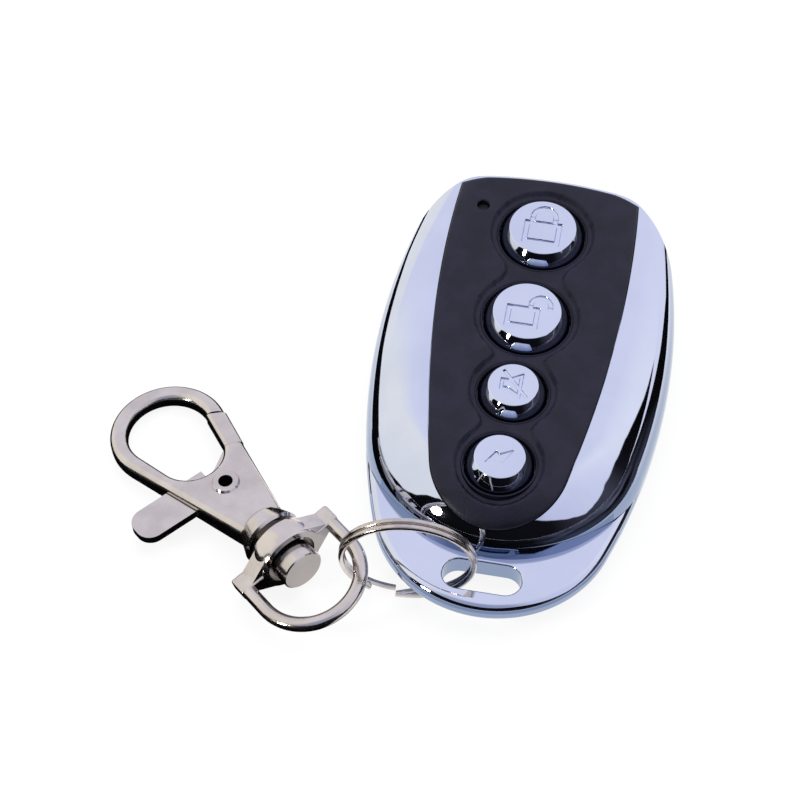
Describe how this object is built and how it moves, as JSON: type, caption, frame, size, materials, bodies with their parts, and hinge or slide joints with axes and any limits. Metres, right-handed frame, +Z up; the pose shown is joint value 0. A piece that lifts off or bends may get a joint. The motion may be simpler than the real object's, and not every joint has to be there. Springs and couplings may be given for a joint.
{
  "type": "remote control key fob",
  "caption": "Chrome cloning remote control key fob with push buttons, a black top panel, a keyring slot, a split ring and a swivel lobster clasp.",
  "frame": {"origin": "middle of the fob's flat back face, below the centre between its sides", "axes": "+Z up through the buttons, +Y to the end with the indicator, +X to the right seen from above with the indicator end up"},
  "size_m": [0.0676, 0.0665, 0.0164],
  "materials": {
    "chrome": "polished chrome plate",
    "panel_black": "fine textured black",
    "switch_black": "smooth",
    "plunger_grey": "smooth",
    "cover_black": "fine textured black",
    "screw_steel": "zinc plated",
    "board_green": "green solder mask",
    "copper": "bare copper",
    "cell_steel": "nickel plated",
    "clear_plastic": "clear",
    "led_red": "diffused",
    "chip_black": "moulded",
    "trimmer_white": "moulded",
    "ring_nickel": "nickel plated wire",
    "nickel": "polished nickel plate on a casting"
  },
  "bodies": {
    "fob": {"chrome_housing": "chrome", "button_panel": "panel_black", "lock_switch": "switch_black", "unlock_switch": "switch_black", "siren_switch": "switch_black", "flash_switch": "switch_black", "back_cover": "cover_black", "cover_screws": "screw_steel", "circuit_board": "board_green", "antenna_loop": "copper", "coin_cell": "cell_steel", "cell_clip": "cell_steel", "cell_pad": "copper", "light_pipe": "clear_plastic", "indicator_led": "led_red", "encoder_chip": "chip_black", "radio_chip": "chip_black", "saw_resonator": "screw_steel", "trim_capacitor": "trimmer_white"},
    "lock_key": {"lock_button": "chrome", "lock_plunger": "plunger_grey"},
    "unlock_key": {"unlock_button": "chrome", "unlock_plunger": "plunger_grey"},
    "siren_key": {"siren_button": "chrome", "siren_plunger": "plunger_grey"},
    "flash_key": {"flash_button": "chrome", "flash_plunger": "plunger_grey"},
    "ring": {"split_ring": "ring_nickel"},
    "eye": {"swivel_eye": "nickel"},
    "clasp": {"hook_body": "nickel", "gate_rivet": "nickel", "gate_spring": "ring_nickel", "swivel_stud": "nickel"},
    "gate": {"gate_lever": "nickel"}
  },
  "joints": [
    {"name": "lock_press", "type": "slide", "parent": "fob", "child": "lock_key", "axis": [0, 0, -1], "range_m": [0, 0.0004], "stiffness_N_per_m": 2000, "springref_m": -0.0004},
    {"name": "unlock_press", "type": "slide", "parent": "fob", "child": "unlock_key", "axis": [0, 0, -1], "range_m": [0, 0.0004], "stiffness_N_per_m": 2000, "springref_m": -0.0004},
    {"name": "siren_press", "type": "slide", "parent": "fob", "child": "siren_key", "axis": [0, 0, -1], "range_m": [0, 0.0004], "stiffness_N_per_m": 2000, "springref_m": -0.0004},
    {"name": "flash_press", "type": "slide", "parent": "fob", "child": "flash_key", "axis": [0, 0, -1], "range_m": [0, 0.0004], "stiffness_N_per_m": 2000, "springref_m": -0.0004},
    {"name": "ring_swing", "type": "hinge", "parent": "fob", "child": "ring", "pos_m": [-0.007, -0.0273, 0.0039], "axis": [0, 1, 0], "range_deg": [-5, 40]},
    {"name": "eye_turn", "type": "hinge", "parent": "ring", "child": "eye", "pos_m": [-0.01599, -0.02806, 0.0054], "axis": [0, 0, 1], "range_deg": [-20, 30]},
    {"name": "swivel_turn", "type": "hinge", "parent": "eye", "child": "clasp", "pos_m": [-0.02365, -0.02677, 0.00445], "axis": [0.7424, -0.6615, 0.1061], "continuous": true},
    {"name": "gate_open", "type": "hinge", "parent": "clasp", "child": "gate", "pos_m": [-0.0326, -0.0188, 0.00317], "axis": [-0.0792, 0.0706, 0.9944], "range_deg": [0, 25], "stiffness_Nm_per_rad": 0.02, "springref_deg": -28.65}
  ]
}
